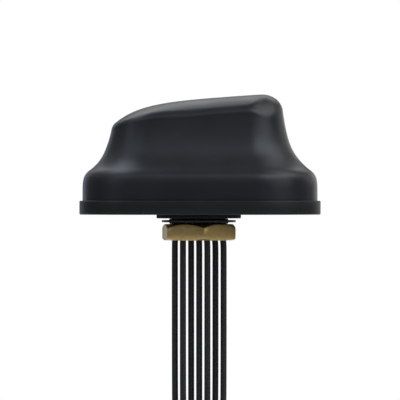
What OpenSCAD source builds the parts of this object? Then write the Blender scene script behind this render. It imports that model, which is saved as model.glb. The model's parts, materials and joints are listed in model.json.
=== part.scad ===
// Roof-mount GNSS receiver with cellular and Wi-Fi elements, all dimensions in millimetres.
// The origin is the middle of the underside of the mounting gasket, +Z is up, +X is the tall end.

/* [Base] */
// Length of the base flange
flange_length = 192.6; // [190:0.2:196]
// Depth of the base flange
flange_depth = 116; // [114:0.5:120]
// Radius of the flange's corners
flange_corner = 53; // [51:0.5:54]
// Height of the flange's edge
flange_height = 11.1; // [10:0.1:12]
// Thickness of the base floor
floor_thickness = 3.2; // [3:0.1:4]
// How far the middle of the base lies from the stud's axis, towards the tall end
housing_x = 1; // [0:0.1:1.5]

/* [Radome] */
// Highest point of the radome above the roof
dome_top = 99.2; // [97:0.2:100]
// Gap from the flange's edge in to the radome's skirt
skirt_inset = 2.5; // [2.4:0.1:3]
// Thickness of the radome's wall
wall = 2.4; // [2:0.1:2.6]
// Half-length of the upper body, at the shoulder's height
upper_half = 71.8; // [70:0.1:72.5]
// Inward lean of the upper wall for each millimetre of height
wall_lean = 0.112; // [0.1:0.002:0.14]
// How far the flare at the foot of the upper wall reaches out
flare_reach = 14.7; // [14:0.1:15]
// Height in which the flare dies away to a third
flare_decay = 13; // [12:0.5:14]
// Slope of the roof line from the tall end to the nose
ridge_slope = 0.065; // [0.05:0.005:0.08]
// How far the roof line has dropped at the nose
nose_drop = 10.3; // [9:0.1:11]
// Drop of the roof from its ridge to its long edges
crown_drop = 7.6; // [6:0.1:8]

/* [Roof mounting] */
// Diameter of the foam gasket between base and roof
gasket_diameter = 67.6; // [67:0.2:69]
// Height of the gasket below the base
gasket_height = 3; // [2.8:0.1:4]
// Outside diameter of the hollow threaded stud
stud_diameter = 45; // [45:0.1:45.2]
// Length of the stud below the roof line
stud_length = 12.6; // [12:0.1:13]
// Pitch of the stud's thread
thread_pitch = 1.5; // [1.5:0.5:2]
// Width across the flats of the brass nut
nut_flats = 55; // [54:0.5:56]
// Height of the brass nut
nut_height = 12.9; // [12:0.1:13]
// Outside diameter of the toothed lock washer
washer_diameter = 59.3; // [58.5:0.1:59.5]
// Number of teeth on the lock washer
tooth_count = 22; // [18:1:24]

/* [Leads] */
// Diameter of each coaxial lead
lead_diameter = 4.95; // [4.9:0.05:5]
// Distance between neighbouring leads inside the stud
stud_pitch = 6.1; // [6:0.05:6.1]
// Distance between neighbouring leads where they hang freely
hang_pitch = 6.5; // [6.3:0.05:6.5]
// Middle radius of the tied coil
coil_radius = 82; // [78:1:84]
// Width across the flats of each plug's coupling nut
plug_flats = 8; // [7.8:0.1:8.2]

/* [Electronics] */
// Thickness of the circuit boards
board_thickness = 1.6; // [1.2:0.1:1.8]
// Height of the main board's underside above the roof
board_height = 16; // [15.6:0.1:16.4]
// Side of the lower ceramic patch
lower_patch = 40; // [36:1:42]
// Side of the upper ceramic patch
upper_patch = 25; // [22:1:26]

/* [Hidden] */

$fn = 96;
eps = 0.01;                      // Overlap that joins stacked shapes

// Base, outlines are all offsets of one rounded rectangle about these corner centres
base_bottom = gasket_height;
floor_top = base_bottom + floor_thickness;
centre_x = flange_length / 2 - flange_corner;
centre_y = flange_depth / 2 - flange_corner;
skirt_corner = flange_corner - skirt_inset;
rim_corner = skirt_corner + 0.2;
ledge_corner = flange_corner - 12;
ledge_top = base_bottom + 4.8;
seal_height = 1.8;
skirt_bottom = ledge_top + seal_height;
pad_radius = 36;
pad_top = floor_top + 3;
board_corner = skirt_corner - 12.4;

// Screws that hold the radome on the base
lug_radius = 3.8;
lug_top = 21;
lug_reach = skirt_corner - 4.9;
lug_angle = 20;
cover_screw_places = [
  for (sx = [-1, 1], sy = [-1, 1])
    each [[30 * sx, (centre_y + skirt_corner - 5.2) * sy],
          [(centre_x + lug_reach * cos(lug_angle)) * sx, (centre_y + lug_reach * sin(lug_angle)) * sy]]];
screw_radius = 1.5;
screw_clearance = 1.6;
head_radius = 2.75;
head_height = 2;
socket_width = 2.9;              // Hexagon socket, across its corners
socket_depth = 1.2;
counterbore_radius = 3.1;
counterbore_depth = 2.6;
cover_screw_length = 11;

// Radome skin
depth_taper = 0.83;              // Inset in depth for each millimetre of inset in length
corner_taper = 0.87;             // The same for the corner radius
skirt_half = flange_length / 2 - skirt_inset;
skirt_straight_top = 22.4;
shoulder_top = 39.6;
shoulder_half = upper_half + flare_reach;
shoulder_pulls = [[0, 33], [-1.4, 35.4]];   // Inner control points of its curve, from the skirt
lean_back = -1;                  // The upper body sits this far towards the nose
lean_back_height = 21;
ridge_peak_x = 50;
nose_x = -60;
nose_decay = 19.5;
crown_half = 28.5;
flat_nose_crown = 0.35;          // Share of the crown that is lost towards the nose
crown_fade = [-5, 45];           // Where that loss starts, and the length it takes
edge_rises = [3, 1.5, 11.2];     // Edge rounding's height: at the nose, added behind it, tall end
edge_runs = [3, 2, 13];          // Its width at the same places
edge_nose_x = -62;
edge_tall_x = 38;
edge_blend = 21;
corner_steps = 12;
long_flats = 6;

// Roof mounting
gasket_recess = 1;
gasket_bore = stud_diameter / 2 + 1.5;
gasket_lip = 30;
gasket_lip_height = 0.3;
stud_radius = stud_diameter / 2;
stud_bore = stud_radius - 1.3;
thread_depth = 0.5;
stud_flange_radius = 34;
stud_flange_top = pad_top + 3;
stud_screw_circle = 29.5;
stud_screw_angles = [45, 135, 225, 315];
stud_screw_length = 7;
stud_end_chamfer = 0.6;
thread_start = -0.9;
washer_top = -1.4;
washer_thickness = 1.7;
washer_ring = 24.1;
tooth_tip = stud_radius + 0.3;
tooth_width = 5.2;
tooth_thickness = 1.2;
tooth_twist = 48;
tooth_root = 0.4;                // How far a tooth's root reaches into the ring
nut_top = -4.6;
nut_turn = 37.65;                // Turn of the nut's first corner from +X
nut_bore = stud_radius + 0.1;
nut_chamfer_angle = 34;
nut_land = 0.4;                  // How far inside the flats the upper chamfer starts
nut_foot_angle = 19;
nut_foot_land = 0.2;             // The same for the lower chamfer

// Leads
lead_radius = lead_diameter / 2;
lead_fit = 0.08;                 // Clearance round a lead in a hole
lead_rows = [0, -5, 5, 0, -5, 5, 0];
grommet_bottom = -5;
grommet_top = 10.4;
ferrule_bottom = board_height - 3.4;
ferrule_radius = 3;
ferrule_socket = 1.4;
hang_shift = 0.4;                // How far the hanging leads lie beside the stud's axis
bundle_offsets = [
  [-5.2, 0], [-2.6, -4.5], [-2.6, 4.5], [0, 0], [2.6, -4.5], [2.6, 4.5], [5.2, 0]];
bundle_radius = 7.8;
bundle_pitch = 15.6;             // Drift of the coil for each turn
bend_radius = 40;                // Bend from the drop on to the coil
coil_start = asin(bend_radius / (coil_radius + bend_radius));
coil_end = 3 * 360 + 90;
coil_half_width = bundle_pitch * (coil_end - coil_start) / 720;
drop_end = -215;
coil_z = drop_end - (coil_radius + bend_radius) * cos(coil_start);

// Stations down the drop: height, spread to the hanging pitch, gathering into the bundle
drop_stations = [
  [13, 0, 0], [-5, 0, 0], [-9, 0.08, 0], [-12.5, 0.26, 0], [-15, 0.5, 0], [-18, 0.78, 0], [-21, 0.95, 0],
  [-25, 1, 0], [-38, 1, 0], [-150, 1, 0], [-158, 1, 0.04], [-166, 1, 0.15], [-174, 1, 0.31],
  [-182, 1, 0.5], [-190, 1, 0.69], [-198, 1, 0.85], [-206, 1, 0.96], [drop_end, 1, 1]];
bend_steps = 4;

// Stations down the tail: height below the coil's middle, spread towards the plugs
tail_stations = [[-8, 0.06], [-16, 0.22], [-24, 0.48], [-32, 0.75], [-40, 0.93], [-48, 1], [-64, 1]];
tail_start = 2;                  // The coil's solid holds the stations before this one
tail_spread = 2.2;
tail_shift = [4, 7];
sleeve_length = 12;
sleeve_wall = 0.7;
tie_gap = 0.4;
tie_wall = 1.2;
tie_width = 9;
tie_angles = [150, 225, 300];
bundle_tie_bottom = -214;
bundle_tie_height = 4.8;

// Plugs, measured down from the sleeve
plug_crimp_radius = 3.3;
plug_crimp_length = 9;
plug_rear_radius = 3;
plug_rear_length = 4;
plug_neck_radius = 2.5;
plug_neck_length = 3.2;
plug_stop_radius = 2.9;
plug_stop_length = 0.8;
plug_shell_radius = 2.3;
plug_shell_length = 3.4;
plug_shell_wall = 0.3;
plug_pin_radius = 0.46;
plug_pin_reach = 1.2;            // How far the pin stands out of the shell
plug_socket_radius = 3.2;        // Bore of the coupling nut round the shell
plug_nut_length = 8.4;
plug_nut_gap = 0.25;

// Electronics
board_screw_places = [
  for (sx = [-1, 1]) each [[72 * sx, 0], [44 * sx, 34], [44 * sx, -34]]];
board_screw_length = 8;
standoff_radius = 3.4;
board_top = board_height + board_thickness;
chips = [                        // Middle, length, depth and height of each block on the board
  [-66, -14, 7, 7, 1.2], [-66, 14, 5, 9, 1.6], [-40, 0, 9, 6, 1.4], [66, -12, 8, 8, 1.4],
  [66, 13, 6, 6, 1.8], [40, 0, 12, 9, 2.2], [-14, -32, 6, 4, 1.2], [16, -31, 4, 6, 1.2],
  [-16, 31, 8, 4, 1.4], [15, 32, 5, 5, 2]];
module_size = [24, 22, 0.8];     // Circuit board of the receiver module
shield_size = [22, 20, 2.4];     // Its metal can
gnss_height = 58;
gnss_side = 52;
spacer_spot = 22.5;
spacer_flats = 5.5;
spacer_peg = 1.4;                // Height of the spacers' melted pegs above the upper board
feed_places = [[4, 0], [0, 4]];
feed_radius = 0.45;
patch_thickness = 4;
cell_feet = [[-48, -15], [-48, 15], [45, -15], [45, 15]];
cell_tops = [64, 64, 80, 80];
cell_width = 28;
cell_stem = 3;                   // Half the width of a blade's stem
cell_flare = [9, 17];            // Heights between which the stem widens into the blade
cell_fold = 6;                   // Depth of the foot and of the folded top
sheet = 0.8;
wifi_row = 36;
wifi_top = 43;
wifi_stem = 4;
wifi_reach = 14;                 // Length of the hook's arm
wifi_drop = 12;                  // Length of its tip

// ---------------------------------------------------------------- helper functions

function smooth(t) = let (u = max(0, min(1, t))) u * u * (3 - 2 * u);
function mix(a, b, t) = a + (b - a) * t;
function unit(v) = v / norm(v);
function bezier(a, b, c, d, t) =
  a * pow(1 - t, 3) + b * 3 * t * pow(1 - t, 2) + c * 3 * t * t * (1 - t) + d * pow(t, 3);

// A tube along a path that never runs along Y
function heading(path, k) = unit(path[min(k + 1, len(path) - 1)] - path[max(k - 1, 0)]);
function tube_ring(path, k, radius, sides) =
  let (t = heading(path, k), n = unit(cross(t, [0, 1, 0])), b = cross(n, t))
  [for (s = [0:sides - 1]) path[k] + radius * (n * cos(360 * s / sides) + b * sin(360 * s / sides))];

// Triangles between rings of equal length that follow each other in one list of points
function strip(count, size) = [
  for (k = [0:count - 2], s = [0:size - 1])
    let (a = k * size + s, b = k * size + (s + 1) % size)
    each [[a, a + size, b], [b, a + size, b + size]]];

module tube(path, radius, sides = 8) {
  rings = len(path);
  polyhedron(
    [for (k = [0:rings - 1]) each tube_ring(path, k, radius, sides)],
    concat(
      [[for (s = [0:sides - 1]) s]],
      strip(rings, sides),
      [[for (s = [sides - 1:-1:0]) (rings - 1) * sides + s]]));
}

// The rounded rectangle that the base and the board share
module footprint(corner) {
  square([2 * (centre_x + corner), 2 * centre_y], center = true);
  square([2 * centre_x, 2 * (centre_y + corner)], center = true);
  for (sx = [-1, 1], sy = [-1, 1])
    translate([sx * centre_x, sy * centre_y]) circle(corner);
}

module footprint_ring(outer, inner) {
  difference() {
    footprint(outer);
    footprint(inner);
  }
}

// Everything that is centred on the base and not on the stud
module in_housing() {
  translate([housing_x, 0, 0]) children();
}

// A screw whose head stands on z = 0 and whose shank runs down
module screw(length) {
  difference() {
    union() {
      cylinder(r = head_radius, h = head_height, $fn = 32);
      translate([0, 0, -length]) cylinder(r = screw_radius - 0.05, h = length + eps, $fn = 32);
    }
    translate([0, 0, head_height - socket_depth])
      cylinder(d = socket_width, h = socket_depth + 1, $fn = 6);
  }
}

// ---------------------------------------------------------------- radome

// Directions round the skin: which corner, how far along a straight side, and the angle
outline = [
  for (q = [0:3])
    let (u = (q == 0 || q == 3) ? 1 : -1, v = q < 2 ? 1 : -1)
    each concat(
      [for (k = [0:corner_steps]) [u, v, 90 * (q + k / corner_steps)]],
      q % 2 == 1 ? [] :
        [for (k = [1:long_flats]) [u * (1 - 2 * k / (long_flats + 1)), v, 90 * (q + 1)]])];

function back_shift(z) = lean_back * smooth((z - shoulder_top) / lean_back_height);

// Point of the outline o at the height z, with the half-length inset by d from the skirt's
function skin(o, d, z) =
  let (r = skirt_corner - corner_taper * d)
  [o.x * (centre_x - (1 - corner_taper) * d) + r * cos(o.z) + back_shift(z),
   o.y * (centre_y + (corner_taper - depth_taper) * d) + r * sin(o.z), z];

function flare_inset(z) =
  skirt_half - upper_half + wall_lean * (z - shoulder_top)
  - flare_reach * exp(-(z - shoulder_top) / flare_decay);

function ridge(x) =
  dome_top - ridge_slope * (ridge_peak_x - x) - nose_drop * exp((nose_x - x) / nose_decay);
function crown(x) = crown_drop * (1 - flat_nose_crown * smooth((crown_fade[0] - x) / crown_fade[1]));
function roof(p) = ridge(p.x) - crown(p.x) * pow(p.y / crown_half, 2);

// Height and width of the rounding where wall and roof meet, wide at the tall end
function edge_share(x, sizes) =
  sizes[0] + sizes[1] * smooth((x - edge_nose_x) / edge_blend)
    + sizes[2] * smooth((x - edge_tall_x) / edge_blend);
function edge_rise(x) = edge_share(x, edge_rises);
function edge_run(x) = edge_share(x, edge_runs);

function wall_top(o, inset, z = 80, rounds = 5) =
  rounds == 0 ? z :
  let (p = skin(o, flare_inset(z) + inset, z))
  wall_top(o, inset, roof(p) - edge_rise(p.x), rounds - 1);

function shoulder_ring(t, inset) =
  let (p = bezier([skirt_half, skirt_straight_top], [skirt_half, 0] + shoulder_pulls[0],
                  [skirt_half, 0] + shoulder_pulls[1], [shoulder_half, shoulder_top], t))
  [for (o = outline) skin(o, skirt_half - p.x + inset, p.y)];

function wall_ring(t, inset) = [
  for (o = outline)
    let (z = mix(shoulder_top, wall_top(o, inset), pow(t, 1.4)))
    skin(o, flare_inset(z) + inset, z)];

function edge_ring(angle, inset) = [
  for (o = outline)
    let (
      z = wall_top(o, inset),
      foot = skin(o, flare_inset(z) + inset, z),
      p = skin(o, flare_inset(z) + inset + edge_run(foot.x) * (1 - cos(angle)), z))
    [p.x, p.y, roof(p) - edge_rise(foot.x) * (1 - sin(angle))]];

function roof_ring(s, inset) = [
  for (e = edge_ring(90, inset))
    let (p = [mix(lean_back, e.x, s), e.y * s])
    [p.x, p.y, roof(p)]];

// Rings from the skirt's edge to the apex, inner ones are inset and then lowered
function lowered(ring, drop) = [
  for (p = ring) [p.x, p.y, p.z - drop * smooth((p.z - skirt_straight_top) / 8)]];

function shell_rings(inset, drop) = concat(
  [[for (o = outline) skin(o, inset, skirt_bottom)]],
  [for (k = [0:5]) lowered(shoulder_ring(k / 5, inset), drop)],
  [for (k = [1:9]) lowered(wall_ring(k / 9, inset), drop)],
  [for (k = [1:5]) lowered(edge_ring(18 * k, inset), drop)],
  [for (s = [0.75, 0.5, 0.25]) lowered(roof_ring(s, inset), drop)]);

module shell() {
  size = len(outline);
  outer = shell_rings(0, 0);
  inner = shell_rings(wall, wall);
  count = len(outer);
  half = count * size + 1;                      // Points of the outer skin with its apex
  points = concat(
    [for (r = outer) each r], [[lean_back, 0, ridge(lean_back)]],
    [for (r = inner) each r], [[lean_back, 0, ridge(lean_back) - wall]]);
  polyhedron(
    points,
    concat(
      strip(count, size),
      [for (s = [0:size - 1]) [(count - 1) * size + s, half - 1, (count - 1) * size + (s + 1) % size]],
      [for (f = strip(count, size)) [f[0] + half, f[2] + half, f[1] + half]],
      [for (s = [0:size - 1])
        [half + (count - 1) * size + (s + 1) % size, 2 * half - 1, half + (count - 1) * size + s]],
      [for (s = [0:size - 1]) let (n = (s + 1) % size)
        each [[s, n, half + s], [n, half + n, half + s]]]));
}

module radome() {
  color([0.09, 0.09, 0.1])
    in_housing()
      difference() {
        union() {
          shell();
          for (p = cover_screw_places)
            translate([p.x, p.y, skirt_bottom + 0.1])
              cylinder(r = lug_radius, h = lug_top - skirt_bottom, $fn = 32);
        }
        for (p = cover_screw_places)
          translate([p.x, p.y, skirt_bottom - 1])
            cylinder(r = screw_radius, h = lug_top - skirt_bottom - 1, $fn = 32);
      }
}

// ---------------------------------------------------------------- base and roof mounting

module base_plate() {
  color([0.1, 0.1, 0.11])
    difference() {
      translate([0, 0, base_bottom]) {
        in_housing() {
          linear_extrude(floor_thickness) footprint(flange_corner);
          linear_extrude(ledge_top - base_bottom) footprint_ring(flange_corner, ledge_corner);
          linear_extrude(flange_height) footprint_ring(flange_corner, rim_corner);
          for (p = board_screw_places)
            translate(p) cylinder(r = standoff_radius, h = board_height - base_bottom, $fn = 32);
        }
        cylinder(r = pad_radius, h = pad_top - base_bottom);
      }
      translate([0, 0, base_bottom - 1]) cylinder(r = stud_radius + 0.2, h = pad_top);
      translate([0, 0, base_bottom - 1])
        cylinder(d = gasket_diameter + 0.2, h = gasket_recess + 1);
      in_housing() {
        for (p = cover_screw_places)
          translate([p.x, p.y, base_bottom - 1]) {
            cylinder(r = screw_clearance, h = flange_height, $fn = 32);
            cylinder(r = counterbore_radius, h = counterbore_depth + 1, $fn = 32);
          }
        for (p = board_screw_places)
          translate([p.x, p.y, board_height - board_screw_length])
            cylinder(r = screw_radius, h = board_screw_length + 1, $fn = 32);
      }
      for (a = stud_screw_angles)
        rotate(a) translate([stud_screw_circle, 0, stud_flange_top - stud_screw_length - 0.4])
          cylinder(r = screw_radius, h = stud_screw_length, $fn = 32);
    }
}

module perimeter_seal() {
  color([0.16, 0.16, 0.17])
    in_housing()
      translate([0, 0, ledge_top])
        linear_extrude(seal_height)
          difference() {
            union() {
              footprint_ring(skirt_corner - 0.1, skirt_corner - wall - 0.6);
              for (p = cover_screw_places) translate(p) circle(lug_radius, $fn = 32);
            }
            for (p = cover_screw_places) translate(p) circle(screw_clearance, $fn = 32);
          }
}

module cover_screws() {
  color([0.7, 0.7, 0.72])
    in_housing()
      for (p = cover_screw_places)
        translate([p.x, p.y, base_bottom + counterbore_depth])
          mirror([0, 0, 1]) screw(cover_screw_length);
}

module mounting_gasket() {
  color([0.05, 0.05, 0.055])
    difference() {
      cylinder(d = gasket_diameter, h = gasket_height + gasket_recess);
      translate([0, 0, -1]) cylinder(r = gasket_lip, h = gasket_lip_height + 1);
      translate([0, 0, -1]) cylinder(r = gasket_bore, h = gasket_height + gasket_recess + 2);
    }
}

module threaded_stud() {
  grooves = floor((stud_length + thread_start - stud_end_chamfer) / thread_pitch);
  profile = concat(
    [[stud_bore, stud_flange_top], [stud_flange_radius, stud_flange_top],
     [stud_flange_radius, pad_top], [stud_radius, pad_top]],
    [for (k = [0:grooves - 1]) let (z = thread_start - k * thread_pitch)
      each [[stud_radius, z], [stud_radius - thread_depth, z - thread_pitch / 2]]],
    [[stud_radius, thread_start - grooves * thread_pitch],
     [stud_radius, stud_end_chamfer - stud_length],
     [stud_radius - stud_end_chamfer, -stud_length], [stud_bore, -stud_length]]);
  color([0.12, 0.12, 0.13])
    difference() {
      rotate_extrude() polygon(profile);
      for (a = stud_screw_angles)
        rotate(a) translate([stud_screw_circle, 0, pad_top - 1])
          cylinder(r = screw_clearance, h = stud_flange_top - pad_top + 2, $fn = 32);
    }
}

module stud_screws() {
  color([0.7, 0.7, 0.72])
    for (a = stud_screw_angles)
      rotate(a) translate([stud_screw_circle, 0, stud_flange_top]) screw(stud_screw_length);
}

module lock_washer() {
  middle = washer_top - washer_thickness / 2;
  color([0.07, 0.07, 0.075]) {
    difference() {
      translate([0, 0, washer_top - washer_thickness])
        cylinder(d = washer_diameter, h = washer_thickness);
      translate([0, 0, washer_top - washer_thickness - 1])
        cylinder(r = washer_ring, h = washer_thickness + 2);
    }
    for (k = [0:tooth_count - 1])
      rotate(360 * k / tooth_count)
        translate([(tooth_tip + washer_ring + tooth_root) / 2, 0, middle])
          rotate([tooth_twist, 0, 0])
            cube([washer_ring + tooth_root - tooth_tip, tooth_width, tooth_thickness], center = true);
  }
}

module hex_nut() {
  corner = nut_flats / 2 / cos(30);
  flat = nut_flats / 2;
  far = corner + 1;                             // A radius outside the corners
  rise = (far - flat + nut_land) * tan(nut_chamfer_angle);
  foot = (far - flat + nut_foot_land) * tan(nut_foot_angle);
  color([0.66, 0.56, 0.34])
    translate([0, 0, nut_top - nut_height])
      difference() {
        intersection() {
          rotate(nut_turn) cylinder(r = corner, h = nut_height, $fn = 6);
          rotate_extrude()
            polygon([
              [0, 0], [flat - nut_foot_land, 0], [far, foot], [far, nut_height - rise],
              [flat - nut_land, nut_height], [0, nut_height]]);
        }
        translate([0, 0, -1]) cylinder(r = nut_bore, h = nut_height + 2);
      }
}

module cable_grommet() {
  color([0.12, 0.12, 0.12])
    difference() {
      translate([0, 0, grommet_bottom])
        cylinder(r = stud_bore - 0.05, h = grommet_top - grommet_bottom);
      for (i = [0:6])
        translate([(i - 3) * stud_pitch, lead_rows[i], grommet_bottom - 1])
          cylinder(r = lead_radius + lead_fit, h = grommet_top - grommet_bottom + 2, $fn = 32);
    }
}

// ---------------------------------------------------------------- electronics

module main_board() {
  color([0.05, 0.3, 0.16])
    in_housing()
      translate([0, 0, board_height])
        linear_extrude(board_thickness)
          difference() {
            footprint(board_corner);
            for (p = board_screw_places) translate(p) circle(screw_clearance, $fn = 32);
          }
}

module board_screws() {
  color([0.7, 0.7, 0.72])
    in_housing()
      for (p = board_screw_places) translate([p.x, p.y, board_top]) screw(board_screw_length);
}

module lead_ferrules() {
  color([0.8, 0.78, 0.7])
    for (i = [0:6])
      translate([(i - 3) * stud_pitch, lead_rows[i], ferrule_bottom])
        difference() {
          cylinder(r = ferrule_radius, h = board_height - ferrule_bottom, $fn = 32);
          translate([0, 0, -1]) cylinder(r = lead_radius + lead_fit, h = ferrule_socket + 1, $fn = 32);
        }
}

module board_components() {
  color([0.12, 0.12, 0.13])
    in_housing()
      for (c = chips)
        translate([c[0] - c[2] / 2, c[1] - c[3] / 2, board_top]) cube([c[2], c[3], c[4]]);
}

module receiver_module() {
  color([0.75, 0.76, 0.78])
    in_housing()
      translate([0, 0, board_top]) {
        translate([-module_size.x / 2, -module_size.y / 2, 0]) cube(module_size);
        translate([-shield_size.x / 2, -shield_size.y / 2, module_size.z - eps]) cube(shield_size);
      }
}

module gnss_board() {
  color([0.05, 0.3, 0.16])
    in_housing()
      translate([0, 0, gnss_height])
        linear_extrude(board_thickness)
          difference() {
            square(gnss_side, center = true);
            for (sx = [-1, 1], sy = [-1, 1])
              translate([sx * spacer_spot, sy * spacer_spot]) circle(screw_clearance, $fn = 32);
          }
}

module gnss_board_spacers() {
  color([0.85, 0.85, 0.82])
    in_housing()
      for (sx = [-1, 1], sy = [-1, 1])
        translate([sx * spacer_spot, sy * spacer_spot, 0]) {
          translate([0, 0, board_top])
            cylinder(d = spacer_flats / cos(30), h = gnss_height - board_top, $fn = 6);
          translate([0, 0, gnss_height - eps])
            cylinder(r = screw_radius, h = board_thickness + spacer_peg, $fn = 32);
        }
}

module gnss_patch(side, z) {
  color([0.82, 0.78, 0.68])
    in_housing()
      difference() {
        translate([-side / 2, -side / 2, z]) cube([side, side, patch_thickness]);
        for (p = feed_places)
          translate([p.x, p.y, z - 1])
            cylinder(r = feed_radius + 0.15, h = patch_thickness + 2, $fn = 24);
      }
}

module gnss_patch_lower() {
  gnss_patch(lower_patch, gnss_height + board_thickness);
}

module gnss_patch_upper() {
  gnss_patch(upper_patch, gnss_height + board_thickness + patch_thickness);
}

module gnss_feed_pins() {
  bottom = gnss_height + board_thickness;
  top = bottom + 2 * patch_thickness;
  color([0.85, 0.8, 0.6])
    in_housing()
      for (p = feed_places)
        translate([p.x, p.y, bottom]) {
          cylinder(r = feed_radius, h = top - bottom + eps, $fn = 24);
          translate([0, 0, top - bottom]) cylinder(r = 1.1, h = 0.5, $fn = 24);
        }
}

// A stamped blade that stands on the main board and folds over at its top
module cell_element(i) {
  rise = cell_tops[i] - board_top;
  half = cell_width / 2;
  color([0.78, 0.74, 0.62])
    in_housing()
      translate([cell_feet[i].x, cell_feet[i].y, board_top]) {
        translate([-cell_stem - 1, -cell_fold / 2, 0]) cube([2 * cell_stem + 2, cell_fold, sheet]);
        rotate([90, 0, 0])
          translate([0, 0, -sheet / 2])
            linear_extrude(sheet)
              polygon([
                [-cell_stem, 0], [cell_stem, 0], [cell_stem, cell_flare[0]], [half, cell_flare[1]],
                [half, rise], [-half, rise], [-half, cell_flare[1]], [-cell_stem, cell_flare[0]]]);
        translate([-half, cell_feet[i].y > 0 ? -cell_fold : 0, rise - sheet])
          cube([cell_width, cell_fold, sheet]);
      }
}

// A short stamped hook on the main board
module wifi_element(i) {
  side = i == 0 ? -1 : 1;
  rise = wifi_top - board_top;
  color([0.78, 0.74, 0.62])
    in_housing()
      translate([0, side * wifi_row, board_top]) {
        translate([-wifi_stem / 2 - 1, -2, 0]) cube([wifi_stem + 2, 4, sheet]);
        translate([-wifi_stem / 2, -sheet / 2, 0]) cube([wifi_stem, sheet, rise]);
        translate([-wifi_stem / 2, -sheet / 2, rise - sheet]) cube([wifi_reach, sheet, sheet]);
        translate([wifi_reach - wifi_stem / 2 - sheet, -sheet / 2, rise - wifi_drop])
          cube([sheet, sheet, wifi_drop]);
      }
}

// ---------------------------------------------------------------- leads, coil and plugs

// Place of a lead at a station of the drop
function drop_point(i, s) =
  let (
    hang = [(i - 3) * mix(stud_pitch, hang_pitch, s[1]) + hang_shift * s[1] * s[1], lead_rows[i]],
    bundled = [bundle_offsets[i].x, bundle_offsets[i].y - coil_half_width])
  [mix(hang.x, bundled.x, s[2]), mix(hang.y, bundled.y, s[2]), s[0]];

// Place of a lead on the bend that leads from the drop on to the coil
function bend_point(i, a) =
  let (r = bend_radius - bundle_offsets[i].x)
  [bend_radius - r * cos(a), bundle_offsets[i].y - coil_half_width, drop_end - r * sin(a)];

function lead_path(i) = concat(
  [for (s = drop_stations) drop_point(i, s)],
  [for (k = [1:bend_steps]) bend_point(i, (90 - coil_start) * k / bend_steps)]);

// Place of a lead below the coil, where the leads fan out to their plugs
function tail_point(i, s) =
  let (spread = mix(1, tail_spread, s[1]))
  [coil_radius + bundle_offsets[i].x * spread + tail_shift.x * s[1],
   coil_half_width + bundle_offsets[i].y * spread + tail_shift.y * s[1], coil_z + s[0]];

plug_drop = tail_stations[len(tail_stations) - 1];

module lead(i) {
  color([0.06, 0.06, 0.065]) {
    tube(lead_path(i), lead_radius);
    tube([for (k = [tail_start:len(tail_stations) - 1]) tail_point(i, tail_stations[k])], lead_radius);
  }
}

module band_profile(grow) {
  square([2 * (bundle_radius + grow), 2 * coil_half_width], center = true);
  for (s = [-1, 1]) translate([0, s * coil_half_width]) circle(bundle_radius + grow);
}

module lead_coil() {
  color([0.06, 0.06, 0.065])
    translate([0, 0, coil_z])
      rotate([90, 0, 0])
        rotate_extrude() translate([coil_radius, 0]) band_profile(0);
}

module coil_ties() {
  color([0.2, 0.2, 0.2]) {
    for (a = tie_angles)
      translate([0, 0, coil_z])
        rotate([0, a - 90, 0])
          translate([coil_radius, 0, -tie_width / 2])
            linear_extrude(tie_width)
              difference() {
                band_profile(tie_gap + tie_wall);
                band_profile(tie_gap);
              }
    translate([0, -coil_half_width, bundle_tie_bottom])
      difference() {
        cylinder(r = bundle_radius + tie_gap + tie_wall, h = bundle_tie_height);
        translate([0, 0, -1]) cylinder(r = bundle_radius + tie_gap, h = bundle_tie_height + 2);
      }
  }
}

module at_plug(i) {
  translate(tail_point(i, plug_drop)) children();
}

module plug_sleeves() {
  color([0.1, 0.1, 0.1])
    for (i = [0:6])
      at_plug(i)
        difference() {
          cylinder(r = lead_radius + lead_fit + sleeve_wall, h = sleeve_length, $fn = 32);
          translate([0, 0, -1]) cylinder(r = lead_radius + lead_fit, h = sleeve_length + 2, $fn = 32);
        }
}

plug_rear = plug_crimp_length + plug_rear_length;
plug_stop = plug_rear + plug_neck_length;
plug_face = plug_stop + plug_stop_length + plug_shell_length;

module plug_body(i) {
  inner = plug_shell_radius - plug_shell_wall;
  color([0.83, 0.7, 0.4])
    at_plug(i)
      rotate_extrude($fn = 48)
        polygon([
          [0, 0], [plug_crimp_radius, 0], [plug_crimp_radius, -plug_crimp_length],
          [plug_rear_radius, -plug_crimp_length], [plug_rear_radius, -plug_rear],
          [plug_neck_radius, -plug_rear], [plug_neck_radius, -plug_stop],
          [plug_stop_radius, -plug_stop], [plug_stop_radius, -plug_stop - plug_stop_length],
          [plug_shell_radius, -plug_stop - plug_stop_length], [plug_shell_radius, -plug_face],
          [inner, -plug_face], [inner, -plug_stop], [0, -plug_stop]]);
}

module plug_insulators() {
  color([0.93, 0.93, 0.9])
    for (i = [0:6])
      at_plug(i)
        translate([0, 0, -plug_face])
          difference() {
            cylinder(r = plug_shell_radius - plug_shell_wall - 0.02, h = plug_face - plug_stop - eps,
                     $fn = 32);
            translate([0, 0, -1]) cylinder(r = plug_pin_radius + 0.02, h = plug_face, $fn = 24);
          }
}

module plug_pins() {
  color([0.85, 0.72, 0.4])
    for (i = [0:6])
      at_plug(i)
        translate([0, 0, -plug_face - plug_pin_reach])
          cylinder(r = plug_pin_radius, h = plug_face - plug_stop + plug_pin_reach - 2 * eps, $fn = 24);
}

module plug_nut(i) {
  top = plug_rear + plug_nut_gap;
  color([0.83, 0.7, 0.4])
    at_plug(i)
      difference() {
        translate([0, 0, -top - plug_nut_length])
          cylinder(d = plug_flats / cos(30), h = plug_nut_length, $fn = 6);
        translate([0, 0, -top - plug_nut_length - 1])
          cylinder(r = plug_neck_radius + 0.2, h = plug_nut_length + 2, $fn = 48);
        translate([0, 0, -top - plug_nut_length - 1])
          cylinder(
            r = plug_socket_radius, h = plug_nut_length + 1 + top - plug_stop + plug_nut_gap,
            $fn = 48);
      }
}

// ---------------------------------------------------------------- nodes

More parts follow.
